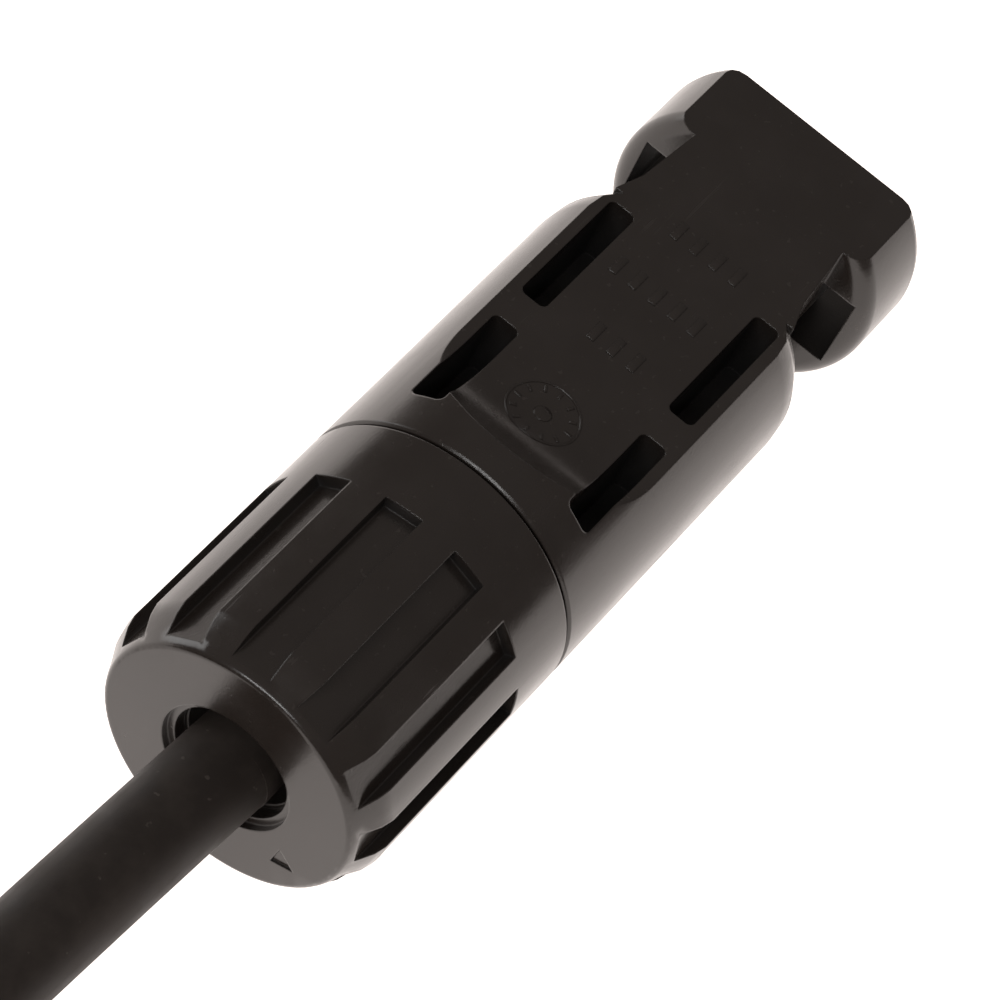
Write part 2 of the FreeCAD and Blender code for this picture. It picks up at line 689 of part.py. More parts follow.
def coil_frame():
    """Centre of the coil's underside, and the point and direction where the lead's jacket ends."""
    mid = S.coil_mid_rad.value
    start = LEAD_ROUTE[-1]
    centre = FreeCAD.Vector(start[0], start[1] + mid, start[2] - S.cable_rad.value)
    angle = math.radians(-90.0 - 360.0 * S.coil_turns.value)
    out = FreeCAD.Vector(math.cos(angle), math.sin(angle), 0)
    end = centre + out * mid
    end.z = start[2] + S.coil_rise.value * S.coil_turns.value
    return centre, end, FreeCAD.Vector(out.y, -out.x, 0)


def make_coil():
    """Outer shape of the coiled lead: a ring with rounded rims, open over the stripped end."""
    centre, end, ahead = coil_frame()
    mid = S.coil_mid_rad.value
    radius = S.cable_rad.value
    high = S.coil_high.value
    ring = Part.makeCylinder(mid + radius, high, centre).cut(
        Part.makeCylinder(mid - radius, high, centre))
    ring = ring.makeFillet(0.8 * radius, rim_edges(ring))
    stripped = S.end_core_len.value + S.end_wire_len.value + 2
    ring = ring.cut(Part.makeCylinder(radius + 0.3, stripped, end, ahead))
    before, start = [FreeCAD.Vector(*spot) for spot in LEAD_ROUTE[-2:]]
    arriving = (before - start).normalize()
    ring = ring.cut(Part.makeCylinder(radius + 0.3, 2 * mid, start, arriving))
    return solid_feature("lead_coil", ring)


def make_end(name, start, length, radius):
    """A straight stripped length at the lead's free end."""
    _, end, ahead = coil_frame()
    return solid_feature(name, Part.makeCylinder(radius, length, end + ahead * start, ahead))


def make_tie():
    """Cable tie round the turns: a square band with its locking head on the outside."""
    centre, _, _ = coil_frame()
    gap = S.tie_gap.value
    thick = S.tie_thick.value
    wide = S.tie_width.value
    across = 2 * (S.cable_rad.value + gap)
    high = S.coil_high.value + 2 * gap
    head = S.tie_head.value
    corner = FreeCAD.Vector(-across / 2, -wide / 2, -gap)
    hollow = Part.makeBox(across, wide, high, corner)
    edge = FreeCAD.Vector(thick, 0, thick)
    band = Part.makeBox(across + 2 * thick, wide, high + 2 * thick, corner - edge)
    rims = [item for item in band.Edges if abs(item.tangentAt(item.FirstParameter).y) > 0.99]
    band = band.makeFillet(thick, rims).cut(hollow)
    lock = Part.makeBox(head - 1, head, head, FreeCAD.Vector(across / 2, -head / 2, high / 2))
    lock = lock.makeFillet(0.5, lock.Edges)
    stub = Part.makeBox(head, wide, thick, FreeCAD.Vector(across / 2, -wide / 2, high / 2 + head / 2))
    tie = band.fuse(lock).fuse(stub).removeSplitter()
    tie.translate(FreeCAD.Vector(S.coil_mid_rad.value, 0, 0))
    tie.rotate(FreeCAD.Vector(), FreeCAD.Vector(0, 0, 1), S.tie_angle.value)
    tie.translate(centre)
    return solid_feature("cable_tie", tie)


def check(items):
    """Stops on a broken feature or an empty or invalid solid."""
    for item in doc.Objects:
        if "Invalid" in item.State or "Error" in item.State:
            raise ValueError("%s is in error" % item.Name)
    for item in items:
        shape = item.Shape
        if shape.isNull() or not shape.isValid() or len(shape.Solids) != 1:
            raise ValueError("%s has %d solids" % (item.Label, len(shape.Solids)))
        box = shape.BoundBox
        print("%-16s volume %9.2f  x %.2f..%.2f  y %.2f..%.2f  z %.2f..%.2f" % (
            item.Label, shape.Volume, box.XMin, box.XMax, box.YMin, box.YMax, box.ZMin, box.ZMax))


def main():
    """Builds every node, places it and writes the STEP files."""
    items = [
        make_nut(),
        make_housing(),
        make_cage(),
        make_seal(),
        make_tube("outer_jacket", 0, S.strip_end, S.core_rad, S.cable_rad),
        make_tube("inner_insulation", 0, S.strip_end, S.wire_rad, S.core_rad),
        make_wire(),
        make_contact(),
        make_clip(),
        make_lead(),
        make_coil(),
        make_end("end_insulation", 0.0, S.end_core_len.value, S.core_rad.value),
        make_end("end_conductor", S.end_core_len.value, S.end_wire_len.value, S.wire_rad.value),
        make_tie(),
    ]
    on_bench = FreeCAD.Placement(FreeCAD.Vector(ORIGIN_X, 0, AXIS_HEIGHT), FreeCAD.Rotation())
    for item in items:
        item.Placement = on_bench.multiply(item.Placement)
    doc.recompute()
    check(items)
    os.makedirs("parts", exist_ok=True)
    for item in items:
        item.Shape.exportStep("parts/%s.step" % item.Label)


main()
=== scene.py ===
"""Solar cable connector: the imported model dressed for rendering.

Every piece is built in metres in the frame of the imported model, with the coupler's axis along X.
"""
from __future__ import annotations

import logging
import math
from dataclasses import dataclass, field
from enum import Enum
from typing import Sequence

import bmesh
import bpy
from mathutils import Matrix, Vector


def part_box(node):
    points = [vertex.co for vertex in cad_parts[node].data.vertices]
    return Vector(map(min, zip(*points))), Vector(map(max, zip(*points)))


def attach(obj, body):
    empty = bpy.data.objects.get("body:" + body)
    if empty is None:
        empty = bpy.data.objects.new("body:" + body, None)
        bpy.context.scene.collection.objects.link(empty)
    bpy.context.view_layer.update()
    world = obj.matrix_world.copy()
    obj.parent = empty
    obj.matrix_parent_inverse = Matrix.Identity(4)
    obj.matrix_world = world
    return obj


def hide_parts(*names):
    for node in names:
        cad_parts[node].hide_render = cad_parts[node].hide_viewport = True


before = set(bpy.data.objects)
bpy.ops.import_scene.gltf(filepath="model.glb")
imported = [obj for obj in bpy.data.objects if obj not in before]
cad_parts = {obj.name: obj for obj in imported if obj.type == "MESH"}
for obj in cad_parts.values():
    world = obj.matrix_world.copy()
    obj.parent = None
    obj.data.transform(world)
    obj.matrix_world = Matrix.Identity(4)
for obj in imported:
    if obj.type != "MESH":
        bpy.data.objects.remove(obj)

MM = 0.001
LOG = logging.getLogger("solar_connector")
AXIS = Vector((-29.435, 0.0, 9.6)) * MM
MERGE = 0.002 * MM


class Body(Enum):
    """Rigid bodies of the coupler."""

    SHELL = "shell"
    CAGE = "cage"
    NUT = "nut"


class Wrap:
    """A shader socket that takes part in Python arithmetic."""

    def __init__(self, graph: "Graph", socket: bpy.types.NodeSocket) -> None:
        """Wraps a socket.

        Args:
            graph: The node graph that owns the socket.
            socket: An output socket.
        """
        self.graph = graph
        self.socket = socket

    def _math(self, operation: str, *values: "Wrap | float") -> "Wrap":
        """Adds a Math node and returns its result."""
        return self.graph.node("ShaderNodeMath", {"operation": operation}, dict(enumerate(values)))

    def __add__(self, other: "Wrap | float") -> "Wrap":
        """Sum."""
        return self._math("ADD", self, other)

    def __radd__(self, other: float) -> "Wrap":
        """Sum with a number first."""
        return self._math("ADD", other, self)

    def __sub__(self, other: "Wrap | float") -> "Wrap":
        """Difference."""
        return self._math("SUBTRACT", self, other)

    def __mul__(self, other: "Wrap | float") -> "Wrap":
        """Product."""
        return self._math("MULTIPLY", self, other)

    def spread(self, low: float, high: float, to_low: float, to_high: float) -> "Wrap":
        """Maps a range onto another range, clamped.

        Args:
            low: Start of the input range.
            high: End of the input range.
            to_low: Result at low.
            to_high: Result at high.

        Returns:
            The mapped value.
        """
        values = {"Value": self, "From Min": low, "From Max": high,
                  "To Min": to_low, "To Max": to_high}
        return self.graph.node("ShaderNodeMapRange", {"clamp": True}, values, "Result")


class Graph:
    """Builds one material's node tree."""

    def __init__(self, name: str) -> None:
        """Starts an empty material with a Principled shader.

        Args:
            name: The material's name.
        """
        self.material = bpy.data.materials.new(name)
        self.material.use_nodes = True
        self.tree = self.material.node_tree
        self.tree.nodes.clear()
        self.shader = self.tree.nodes.new("ShaderNodeBsdfPrincipled")
        output = self.tree.nodes.new("ShaderNodeOutputMaterial")
        self.tree.links.new(self.shader.outputs["BSDF"], output.inputs["Surface"])

    def node(self, kind: str, settings: dict[str, object] | None = None,
             values: dict[str | int, object] | None = None, out: str | int = 0) -> Wrap:
        """Adds a node.

        Args:
            kind: The node's type.
            settings: Attributes set before its sockets.
            values: Socket values or links by name or number.
            out: Name or number of the output that is returned.

        Returns:
            The wrapped output.
        """
        made = self.tree.nodes.new(kind)
        for key, value in (settings or {}).items():
            setattr(made, key, value)
        for key, value in (values or {}).items():
            self.feed(made.inputs[key], value)
        return Wrap(self, made.outputs[out])

    def feed(self, socket: bpy.types.NodeSocket, value: object) -> None:
        """Links a wrapped output to a socket, or sets a plain value."""
        if isinstance(value, Wrap):
            self.tree.links.new(value.socket, socket)
        else:
            socket.default_value = value

    def place(self, scale: Sequence[float] = (1, 1, 1)) -> Wrap:
        """Object coordinates in metres, stretched by scale."""
        point = self.node("ShaderNodeTexCoord", out="Object")
        return self.node("ShaderNodeMapping", values={"Vector": point, "Scale": scale})

    def noise(self, point: Wrap, scale: float, detail: float = 4.0, rough: float = 0.55) -> Wrap:
        """Noise from 0 to 1 at that scale per metre."""
        return self.node("ShaderNodeTexNoise", values={
            "Vector": point, "Scale": scale, "Detail": detail, "Roughness": rough})

    def mix(self, amount: Wrap | float, first: object, second: object) -> Wrap:
        """Mixes two colours."""
        return self.node("ShaderNodeMix", {"data_type": "RGBA"},
                         {"Factor": amount, 6: first, 7: second}, 2)

    def bump(self, height: Wrap, distance: float, edge: float = 0.0) -> Wrap:
        """A bump of that height in metres, over edges eased by the radius edge.

        Args:
            height: Height from 0 to 1.
            distance: Depth of the bump in metres.
            edge: Radius in metres of the eased edges, or 0 for sharp ones.

        Returns:
            The normal.
        """
        values = {"Height": height, "Distance": distance}
        if edge > 0.0:
            values["Normal"] = self.node("ShaderNodeBevel", {"samples": 6}, {"Radius": edge})
        return self.node("ShaderNodeBump", values=values, out="Normal")

    def recess(self, reach: float) -> Wrap:
        """A mask of deep openings, used to paint shade into them.

        Args:
            reach: Distance in metres within which walls shade a point.

        Returns:
            1 deep inside an opening, 0 on open faces.
        """
        open_air = self.node("ShaderNodeAmbientOcclusion", {"samples": 8, "only_local": True},
                             {"Distance": reach}, "AO")
        return open_air.spread(0.2, 0.55, 1.0, 0.0)

    def finish(self, **sockets: object) -> bpy.types.Material:
        """Sets or links the shader's sockets, written with _ for a space."""
        for key, value in sockets.items():
            self.feed(self.shader.inputs[key.replace("_", " ")], value)
        return self.material


Colour = tuple[float, float, float, float]


@dataclass(frozen=True)
class MouldedPlastic:
    """Black moulded nylon with fine grain, soft sheen variation, handling marks and painted shade
    darkening its deep recesses.
    """

    name: str
    colour: Colour = (0.0160, 0.0124, 0.0104, 1.0)
    worn: Colour = (0.052, 0.045, 0.041, 1.0)
    # Colour of the painted shade laid into deep recesses.
    shaded: Colour = (0.006, 0.005, 0.0045, 1.0)
    recess_reach: float = 0.005
    roughness: float = 0.21
    grain: float = 0.000007
    specks: float = 0.5
    edge: float = 0.00016

    def make(self) -> bpy.types.Material:
        """Builds the material."""
        graph = Graph(self.name)
        point = graph.place()
        cloud = graph.noise(point, 190.0, 3.0)
        fine = graph.noise(point, 7000.0, 2.0, 0.7)
        flow = graph.noise(graph.place((0.25, 1.0, 1.0)), 900.0, 4.0, 0.6)
        speck = graph.noise(point, 2600.0, 1.0, 0.3).spread(0.72, 0.77, 0.0, 1.0) * self.specks
        scratch = graph.noise(graph.place((0.06, 1.0, 1.0)), 2600.0, 2.0, 0.5)
        scratch = scratch.spread(0.68, 0.72, 0.0, 1.0) * cloud.spread(0.52, 0.62, 0.0, 0.6)
        colour = graph.mix(cloud.spread(0.4, 0.7, 0.0, 0.12), self.colour, self.worn)
        colour = graph.mix(speck * 0.6 + scratch * 0.3, colour, self.worn)
        # Painted shade: inside deep recesses the base colour darkens towards the shaded colour, and
        # the same mask roughens them.
        deep = graph.recess(self.recess_reach)
        colour = graph.mix(deep, colour, self.shaded)
        rough = (self.roughness + cloud.spread(0.3, 0.7, -0.03, 0.05)
                 + flow.spread(0.3, 0.7, -0.02, 0.03) + scratch * 0.12 + deep * 0.55)
        height = fine * 0.8 + flow * 0.5 - scratch * 0.8 + speck * 0.6
        return graph.finish(Base_Color=colour, Roughness=rough, IOR=1.5,
                            Normal=graph.bump(height, self.grain, self.edge))


@dataclass(frozen=True)
class CableJacket:
    """Dull cross-linked jacket, slightly mottled, with faint drawing lines."""

    name: str
    colour: Colour = (0.0175, 0.0135, 0.0115, 1.0)
    dusty: Colour = (0.036, 0.029, 0.0245, 1.0)
    roughness: float = 0.58

    def make(self) -> bpy.types.Material:
        """Builds the material."""
        graph = Graph(self.name)
        point = graph.place()
        patches = graph.noise(point, 420.0, 5.0, 0.6)
        pores = graph.noise(point, 3600.0, 3.0, 0.7)
        nick = graph.noise(point, 1500.0, 2.0, 0.4).spread(0.72, 0.76, 0.0, 1.0)
        colour = graph.mix(patches.spread(0.4, 0.7, 0.0, 0.5), self.colour, self.dusty)
        colour = graph.mix(nick * 0.5, colour, (0.07, 0.06, 0.052, 1.0))
        rough = self.roughness + patches.spread(0.3, 0.7, -0.06, 0.08)
        height = pores * 0.6 + patches * 0.8 + nick * 0.5
        return graph.finish(Base_Color=colour, Roughness=rough, IOR=1.34,
                            Normal=graph.bump(height, 0.00001))


@dataclass(frozen=True)
class SoftRubber:
    """Matt silicone or inner insulation."""

    name: str
    colour: Colour
    pale: Colour
    roughness: float = 0.62

    def make(self) -> bpy.types.Material:
        """Builds the material."""
        graph = Graph(self.name)
        point = graph.place()
        cloud = graph.noise(point, 600.0, 4.0)
        fine = graph.noise(point, 4200.0, 2.0)
        colour = graph.mix(cloud.spread(0.3, 0.7, 0.0, 0.5), self.colour, self.pale)
        rough = self.roughness + cloud.spread(0.3, 0.7, -0.05, 0.08)
        return graph.finish(Base_Color=colour, Roughness=rough,
                            Normal=graph.bump(fine + cloud, 0.000008))


@dataclass(frozen=True)
class Plating:
    """Tinned or plated metal with tarnish and fine turning marks."""

    name: str
    colour: Colour
    tarnish: Colour
    roughness: float = 0.28
    ring_marks: float = 9000.0

    def make(self) -> bpy.types.Material:
        """Builds the material."""
        graph = Graph(self.name)
        point = graph.place()
        stain = graph.noise(point, 500.0, 5.0)
        rings = graph.noise(graph.place((1.0, 0.02, 0.02)), self.ring_marks, 2.0)
        colour = graph.mix(stain.spread(0.45, 0.75, 0.0, 0.7), self.colour, self.tarnish)
        rough = self.roughness + stain.spread(0.3, 0.7, -0.06, 0.12)
        return graph.finish(Base_Color=colour, Metallic=1.0, Roughness=rough,
                            Normal=graph.bump(rings, 0.000004))


def new_object(name: str, mesh: bmesh.types.BMesh, material: bpy.types.Material,
               body: Body, smooth_angle: float = 32.0) -> bpy.types.Object:
    """Turns a bmesh into a piece that rides on a body.

    Args:
        name: The piece's name.
        mesh: The finished bmesh; it is freed.
        material: Its finish.
        body: The body that carries it.
        smooth_angle: Edges sharper than this many degrees stay sharp.

    Returns:
        The new object.
    """
    limit = math.radians(smooth_angle)
    for face in mesh.faces:
        face.smooth = True
    for edge in mesh.edges:
        edge.smooth = not (edge.is_manifold and edge.calc_face_angle(0.0) > limit)
    data = bpy.data.meshes.new(name)
    mesh.to_mesh(data)
    mesh.free()
    data.materials.append(material)
    item = bpy.data.objects.new(name, data)
    bpy.context.scene.collection.objects.link(item)
    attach(item, body.value)
    return item


def smooth_node(node: str, material: bpy.types.Material, body: Body) -> bpy.types.Object:
    """Puts a smooth-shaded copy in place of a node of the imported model.

    Args:
        node: The node that is replaced.
        material: Its finish.
        body: The body that carries it.

    Returns:
        The new object.
    """
    mesh = bmesh.new()
    mesh.from_mesh(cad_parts[node].data)
    bmesh.ops.remove_doubles(mesh, verts=mesh.verts, dist=MERGE)
    piece = new_object(node + "_smooth", mesh, material, body)
    normals = piece.modifiers.new("even_shading", "WEIGHTED_NORMAL")
    normals.keep_sharp = True
    normals.weight = 60
    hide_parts(node)
    LOG.info("%s: %d faces", piece.name, len(piece.data.polygons))
    return piece


@dataclass
class Studio:
    """Camera, pale floor and soft lights."""

    target: Vector = field(default_factory=lambda: Vector((-3.21, -0.43, 9.6)) * MM)
    azimuth: float = -77.49
    elevation: float = 53.25
    roll: float = 29.06
    distance: float = 271.9 * MM
    lens: float = 166.6
    sensor: float = 36.0
    floor_half: float = 2.5
    floor_glow: float = 1.35
    sky: tuple[tuple[float, float], ...] = ((0.0, 0.6), (0.03, 0.3), (0.1, 0.14), (0.45, 0.22),
                                            (1.0, 0.34))
    sky_tint: tuple[float, float, float] = (1.0, 0.89, 0.83)

    def make_camera(self) -> None:
        """Places the camera behind and above the coupler, rolled so that it runs up to the right."""
        data = bpy.data.cameras.new("camera")
        data.lens = self.lens
        data.sensor_width = self.sensor
        data.clip_start = 0.005
        data.clip_end = 50.0
        camera = bpy.data.objects.new("camera", data)
        bpy.context.scene.collection.objects.link(camera)
        turn, rise = math.radians(self.azimuth), math.radians(self.elevation)
        away = Vector((math.sin(turn) * math.cos(rise), -math.cos(turn) * math.cos(rise),
                       math.sin(rise)))
        level = (-away).to_track_quat("-Z", "Y").to_matrix().to_4x4()
        camera.matrix_world = (Matrix.Translation(self.target + away * self.distance) @ level
                               @ Matrix.Rotation(math.radians(self.roll), 4, "Z"))
        bpy.context.scene.camera = camera

    def make_floor(self) -> None:
        """Adds the pale floor, bright enough to show no horizon of its own."""
        mesh = bmesh.new()
        bmesh.ops.create_grid(mesh, x_segments=1, y_segments=1, size=self.floor_half)
        data = bpy.data.meshes.new("floor")
        mesh.to_mesh(data)
        mesh.free()
        graph = Graph("floor_white")
        tone = graph.noise(graph.place(), 3.0, 2.0).spread(0.3, 0.7, 0.86, 0.9)
        colour = graph.mix(tone, (0.5, 0.48, 0.47, 1.0), (0.56, 0.54, 0.53, 1.0))
        data.materials.append(graph.finish(
            Base_Color=colour, Roughness=0.9, Emission_Color=(1.0, 0.915, 0.87, 1.0),
            Emission_Strength=self.floor_glow))
        floor = bpy.data.objects.new("floor", data)
        bpy.context.scene.collection.objects.link(floor)

    def add_light(self, name: str, place: Sequence[float], wide: float, high: float,
                  power: float) -> None:
        """Adds a rectangular soft light that faces the coupler.

        Args:
            name: The light's name.
            place: Its centre in metres.
            wide: Its level side in metres.
            high: Its other side in metres.
            power: Its power in watts.
        """
        data = bpy.data.lights.new(name, "AREA")
        data.energy = power
        data.shape = "RECTANGLE"
        data.size = wide
        data.size_y = high
        lamp = bpy.data.objects.new(name, data)
        bpy.context.scene.collection.objects.link(lamp)
        lamp.location = place
        lamp.rotation_euler = (self.target - Vector(place)).to_track_quat("-Z", "Y").to_euler()

    def make_world(self) -> None:
        """Sets the surroundings: pale at the horizon, dim above it."""
        world = bpy.data.worlds.new("studio")
        world.use_nodes = True
        bpy.context.scene.world = world
        tree = world.node_tree
        tree.nodes.clear()
        coords = tree.nodes.new("ShaderNodeTexCoord")
        split = tree.nodes.new("ShaderNodeSeparateXYZ")
        ramp = tree.nodes.new("ShaderNodeValToRGB")
        back = tree.nodes.new("ShaderNodeBackground")
        out = tree.nodes.new("ShaderNodeOutputWorld")
        while len(ramp.color_ramp.elements) < len(self.sky):
            ramp.color_ramp.elements.new(0.5)
        for element, (place, level) in zip(ramp.color_ramp.elements, self.sky):
            element.position = place
            element.color = (*(level * part for part in self.sky_tint), 1.0)
        tree.links.new(coords.outputs["Generated"], split.inputs["Vector"])
        tree.links.new(split.outputs["Z"], ramp.inputs["Fac"])
        tree.links.new(ramp.outputs["Color"], back.inputs["Color"])
        tree.links.new(back.outputs["Background"], out.inputs["Surface"])

    def make_lights(self) -> None:
        """Adds a large card low at one side and a broad strip high behind the coupler."""
        self.add_light("left_card", (0.1, 0.9, 0.16), 0.5, 0.5, 2.2)
        self.add_light("rear_strip", (-0.66, 0.1, 0.62), 0.6, 0.14, 3.5)
        bpy.context.scene.view_settings.view_transform = "Standard"


@dataclass
class Lead:
    """The cable: its run to the coil, the coil up to the stripped end, and the tie."""

    origin: Vector = field(default_factory=lambda: AXIS.copy())
    diameter: float = 6.0 * MM
    length: float = 0.488
    coil_radius: float = 30.5 * MM
    turns: float = 2.25
    rise: float = 6.1 * MM
    points_per_turn: int = 20
    route: tuple[tuple[float, float, float], ...] = (
        (1.2, 0.0, 0.0), (-17.0, 0.95, -0.1), (-36.0, 2.4, -5.4), (-49.0, 2.5, -5.4))
    coil_middle: tuple[float, float, float] = (-55.0, 33.0, -5.4)
    tie_turn: float = 50.0 / 360.0
    tie_wall: float = 1.2 * MM
    slim: float = 0.985

    def run(self) -> list[Vector]:
        """Points from inside the gland to the start of the coil."""
        return [self.origin + Vector(spot) * MM for spot in self.route]

    def coil(self) -> list[Vector]:
        """Points of the coil's turns, wound clockwise seen from above, up to the stripped end."""
        middle = self.origin + Vector(self.coil_middle) * MM
        step = 2 * math.pi / self.points_per_turn
        reach = self.coil_radius / math.cos(step / 2)
        count = round(self.turns * self.points_per_turn)
        places = [(i + 0.5, reach) for i in range(count)] + [(count, self.coil_radius)]
        spots = []
        for place, radius in places:
            turn = -math.pi / 2 - place * step
            lift = self.rise * place / self.points_per_turn
            spots.append(middle + Vector((radius * math.cos(turn), radius * math.sin(turn), lift)))
        return spots

    def fit_sleeve(self, sleeve: bpy.types.Object) -> None:
        """Slims the jacket inside the coupler so that it stays under the cable's surface."""
        slim = Matrix.Translation(AXIS) @ Matrix.Diagonal((1.0, self.slim, self.slim, 1.0))
        sleeve.data.transform(slim @ Matrix.Translation(-AXIS))

    def fit_tie(self, tie: bpy.types.Object) -> None:
        """Draws the tie's height in to the turns that pass through it."""
        start = self.origin.z + self.coil_middle[2] * MM
        low = start + self.rise * self.tie_turn - self.diameter / 2
        high = low + self.rise * int(self.turns) + self.diameter
        heights = [vert.co.z for vert in tie.data.vertices]
        middle = (min(heights) + max(heights)) / 2
        squeeze = (high - low + 2 * self.tie_wall) / (max(heights) - min(heights))
        tie.data.transform(Matrix.Translation((0.0, 0.0, (low + high) / 2))
                           @ Matrix.Diagonal((1.0, 1.0, squeeze, 1.0))
                           @ Matrix.Translation((0.0, 0.0, -middle)))

    def build(self, jacket: bpy.types.Material) -> bpy.types.Object:
        """Makes the cable as one smooth curve."""
        data = bpy.data.curves.new("cable", "CURVE")
        data.dimensions = "3D"
        data.bevel_depth = self.diameter / 2
        data.bevel_resolution = 8
        data.resolution_u = 12
        data.use_fill_caps = True
        spline = data.splines.new("NURBS")
        spots = self.run() + self.coil()
        spline.points.add(len(spots) - 1)
        for point, spot in zip(spline.points, spots):
            point.co = (*spot, 1.0)
        spline.order_u = 3
        spline.use_endpoint_u = True
        data.materials.append(jacket)
        cable = bpy.data.objects.new("cable", data)
        bpy.context.scene.collection.objects.link(cable)
        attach(cable, Body.SHELL.value)
        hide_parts("lead_tube", "lead_coil")
        LOG.info("cable: %d points", len(spots))
        return cable


@dataclass
class Shell:
    """Housing with plain relief marks on its upper flat."""

    flat_height: float = 6.28 * MM
    relief: float = 0.05 * MM
    clock_at: tuple[float, float] = (28.3 * MM, 0.3 * MM)
    clock_radius: float = 2.35 * MM
    clock_line: float = 0.22 * MM
    clock_ticks: int = 12
    bar_rows: tuple[tuple[float, int, float], ...] = ((35.6, 3, 0.0), (40.6, 5, 0.4),
                                                      (45.6, 4, 0.0))
    bar_pitch: float = 1.5 * MM
    bar_size: tuple[float, float] = (1.5 * MM, 0.6 * MM)
    sink: float = 0.01 * MM
    blend_start: float = 29.576 * MM
    blend_radius: float = 9.0 * MM

    def build(self, plastic: bpy.types.Material) -> None:
        """Makes the housing and its marks."""
        smooth_node("housing", plastic, Body.SHELL)
        self.mould_clock(plastic)
        self.grip_bars(plastic)

    def settle(self, name: str, mesh: bmesh.types.BMesh, plastic: bpy.types.Material) -> None:
        """Lays a relief drawn about the axis frame's origin on the upper flat and its blend."""
        for vert in mesh.verts:
            along = max(self.blend_start - vert.co.x, 0.0)
            vert.co.z += self.blend_radius - math.sqrt(self.blend_radius ** 2 - along ** 2)
        bmesh.ops.translate(mesh, verts=mesh.verts,
                            vec=AXIS + Vector((0.0, 0.0, self.flat_height - self.sink)))
        piece = new_object(name, mesh, plastic, Body.SHELL)
        LOG.info("%s: %d faces", piece.name, len(piece.data.polygons))

    def add_bar(self, mesh: bmesh.types.BMesh, place: Vector, length: float, width: float,
                turn: float = 0.0) -> None:
        """Adds a low bar with eased ends.

        Args:
            mesh: The bmesh that takes it.
            place: Centre of its underside.
            length: Its length before it is turned.
            width: Its width.
            turn: Turn about Z in radians.
        """
        high = self.relief
        shape = (Matrix.Translation(place + Vector((0, 0, high / 2)))
                 @ Matrix.Rotation(turn, 4, "Z") @ Matrix.Diagonal((length, width, high, 1.0)))
        made = bmesh.ops.create_cube(mesh, size=1.0, matrix=shape)
        top = [edge for vert in made["verts"] for edge in vert.link_edges
               if min(end.co.z for end in edge.verts) > place.z + high * 0.6]
        bmesh.ops.bevel(mesh, geom=list(set(top)), offset=high * 0.45, segments=2,
                        profile=0.5, affect="EDGES", material=-1)

    def mould_clock(self, plastic: bpy.types.Material) -> None:
        """A plain ring with twelve ticks and a middle stud, as left by a mould's date insert."""
        mesh = bmesh.new()
        centre = Vector((*self.clock_at, 0.0))
        line = self.clock_line
        corners = [(self.clock_radius - line / 2, 0.0), (self.clock_radius - line / 3, self.relief),
                   (self.clock_radius + line / 3, self.relief), (self.clock_radius + line / 2, 0.0)]
        loop = [mesh.verts.new(centre + Vector((radius, 0.0, height))) for radius, height in corners]
        edges = [mesh.edges.new(pair) for pair in zip(loop, loop[1:] + loop[:1])]
        bmesh.ops.spin(mesh, geom=loop + edges, cent=centre, axis=(0, 0, 1),
                       angle=2 * math.pi, steps=72, use_merge=True)
        bmesh.ops.recalc_face_normals(mesh, faces=mesh.faces)
        for i in range(self.clock_ticks):
            turn = i * 2 * math.pi / self.clock_ticks
            reach = self.clock_radius * 0.8
            spot = centre + Vector((math.cos(turn), math.sin(turn), 0.0)) * reach
            self.add_bar(mesh, spot, 0.5 * MM, line, turn)
        bmesh.ops.create_cone(mesh, cap_ends=True, segments=32, radius1=0.62 * MM,
                              radius2=0.55 * MM, depth=self.relief,
                              matrix=Matrix.Translation(centre + Vector((0, 0, self.relief / 2))))
        self.settle("mould_clock", mesh, plastic)

    def grip_bars(self, plastic: bpy.types.Material) -> None:
        """Three short rows of plain bars across the flat."""
        mesh = bmesh.new()
        for middle, count, aside in self.bar_rows:
            for i in range(count):
                across = (i - (count - 1) / 2) * self.bar_pitch + aside * MM
                self.add_bar(mesh, Vector((middle * MM, across, 0.0)), *self.bar_size)
        self.settle("grip_bars", mesh, plastic)


@dataclass
class Nut:
    """Gland nut."""

    node: str = "gland_nut"

    def build(self, plastic: bpy.types.Material) -> None:
        """Makes the nut."""
        smooth_node(self.node, plastic, Body.NUT)


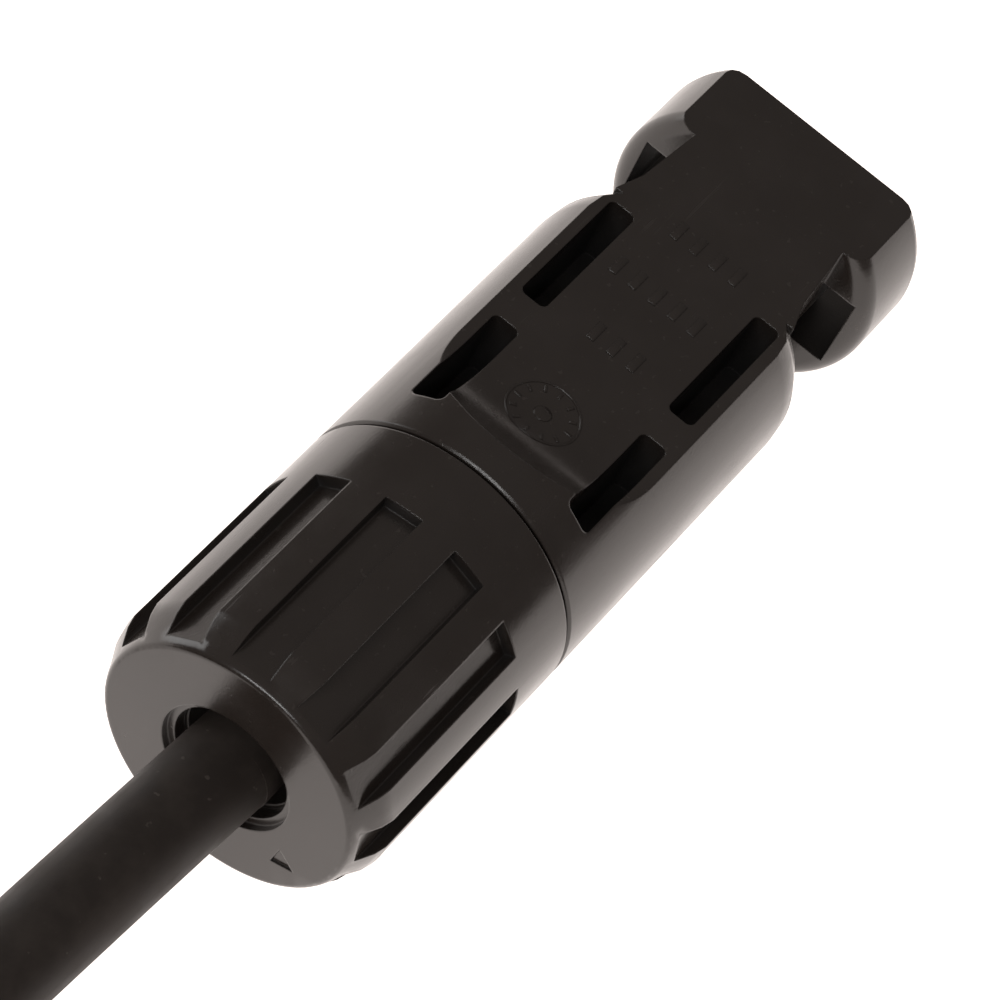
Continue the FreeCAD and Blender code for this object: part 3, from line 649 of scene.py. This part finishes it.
@dataclass
class StrippedEnd:
    """Bare end of the lead: twisted tinned strands and the inner insulation."""

    strand_rings: tuple[tuple[int, float], ...] = ((1, 0.0), (6, 0.46), (12, 0.92))
    strand_radius: float = 0.22 * MM
    steps: int = 24
    twist: float = 2.2 * math.pi

    def build(self, metal: bpy.types.Material,
              core: bpy.types.Material) -> list[bpy.types.Object]:
        """Makes the strands in place of the plain conductor and smooths the insulation."""
        sleeve = smooth_node("end_insulation", core, Body.SHELL)
        low, high = (Vector(corner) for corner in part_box("end_conductor"))
        middle = (low + high) / 2
        length = high.y - low.y
        mesh = bmesh.new()
        for count, ring in self.strand_rings:
            for i in range(count):
                self.add_strand(mesh, ring * MM, 2 * math.pi * i / count, length)
        bmesh.ops.recalc_face_normals(mesh, faces=mesh.faces)
        shape = Matrix.Translation(Vector((middle.x, low.y, middle.z))) @ Matrix.Rotation(
            -math.pi / 2, 4, "X")
        bmesh.ops.transform(mesh, matrix=shape, verts=mesh.verts)
        piece = new_object("end_strands", mesh, metal, Body.SHELL)
        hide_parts("end_conductor")
        LOG.info("%s: %d faces", piece.name, len(piece.data.polygons))
        return [sleeve, piece]

    def add_strand(self, mesh: bmesh.types.BMesh, ring: float, start: float,
                   length: float) -> None:
        """Adds one strand along Z, twisted about the bundle's axis.

        Args:
            mesh: The bmesh that takes it.
            ring: Distance of the strand from the bundle's axis.
            start: Its angle at the first end.
            length: Its length along the axis.
        """
        place = Matrix.Translation((ring * math.cos(start), ring * math.sin(start), 0.0))
        made = bmesh.ops.create_circle(mesh, cap_ends=True, segments=8,
                                       radius=self.strand_radius, matrix=place)
        face = made["verts"][0].link_faces[0]
        for _ in range(self.steps):
            grown = bmesh.ops.extrude_face_region(mesh, geom=[face])
            verts = [item for item in grown["geom"] if isinstance(item, bmesh.types.BMVert)]
            faces = [item for item in grown["geom"] if isinstance(item, bmesh.types.BMFace)]
            bmesh.ops.delete(mesh, geom=[face], context="FACES_ONLY")
            bmesh.ops.translate(mesh, verts=verts, vec=(0.0, 0.0, length / self.steps))
            bmesh.ops.rotate(mesh, verts=verts, cent=(0, 0, 0),
                             matrix=Matrix.Rotation(self.twist / self.steps, 3, "Z"))
            face = faces[0]


def main() -> None:
    """Builds the scene in order."""
    logging.basicConfig(level=logging.INFO, format="%(message)s")
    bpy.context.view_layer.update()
    studio = Studio()
    studio.make_camera()
    jacket = CableJacket("jacket_black").make()
    lead = Lead()
    cable = lead.build(jacket)
    studio.make_floor()
    studio.make_world()
    studio.make_lights()
    Shell().build(MouldedPlastic("shell_black").make())
    Nut().build(MouldedPlastic("nut_black", roughness=0.2).make())
    core = SoftRubber("core_black", (0.03, 0.026, 0.022, 1.0), (0.06, 0.054, 0.048, 1.0)).make()
    tinned = Plating("tinned_copper", (0.72, 0.69, 0.64, 1.0), (0.5, 0.44, 0.36, 1.0),
                     0.34).make()
    end_pieces = StrippedEnd().build(tinned, core)
    plated = Plating("contact_plating", (0.78, 0.76, 0.72, 1.0), (0.55, 0.51, 0.45, 1.0),
                     0.2).make()
    spring = Plating("spring_steel", (0.6, 0.6, 0.6, 1.0), (0.42, 0.4, 0.37, 1.0), 0.25).make()
    seal = SoftRubber("seal_silicone", (0.04, 0.04, 0.042, 1.0), (0.08, 0.08, 0.08, 1.0)).make()
    lead.fit_sleeve(smooth_node("outer_jacket", jacket, Body.SHELL))
    smooth_node("inner_insulation", core, Body.SHELL)
    smooth_node("conductor", tinned, Body.SHELL)
    smooth_node("pin_contact", plated, Body.SHELL)
    smooth_node("retaining_clip", spring, Body.SHELL)
    smooth_node("cable_seal", seal, Body.SHELL)
    smooth_node("clamp_cage", MouldedPlastic("cage_nylon", roughness=0.34).make(), Body.CAGE)
    end_pieces.append(smooth_node("cable_tie", MouldedPlastic("tie_nylon", roughness=0.32).make(),
                                  Body.SHELL))
    lead.fit_tie(end_pieces[-1])


if __name__ == "__main__":
    main()
